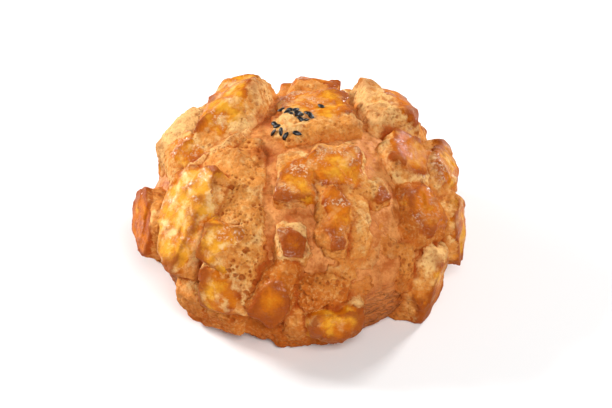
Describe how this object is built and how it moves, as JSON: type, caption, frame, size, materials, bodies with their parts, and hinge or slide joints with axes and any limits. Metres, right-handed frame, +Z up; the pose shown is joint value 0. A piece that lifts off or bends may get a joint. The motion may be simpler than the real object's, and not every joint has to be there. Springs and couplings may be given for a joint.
{
  "type": "pineapple bun",
  "caption": "Round sweet bun under a cracked, egg-glazed cookie crust of raised plates, with black sesame on its crown.",
  "frame": {"origin": "on the surface that the bun stands on, under the middle of its outline", "axes": "+Z up through the crown, -Y to the side the picture shows, +X to the viewer's right"},
  "size_m": [0.109, 0.1096, 0.0559],
  "materials": {
    "crust": "baked cookie crust: matte golden crumb, with glossy egg-washed patches browned at their rims",
    "bread": "satin pinkish-brown bread that shows in the cracks between the plates",
    "sesame": "glossy black sesame seed"
  },
  "bodies": {
    "root": {"bun": "crust"}
  },
  "joints": []
}
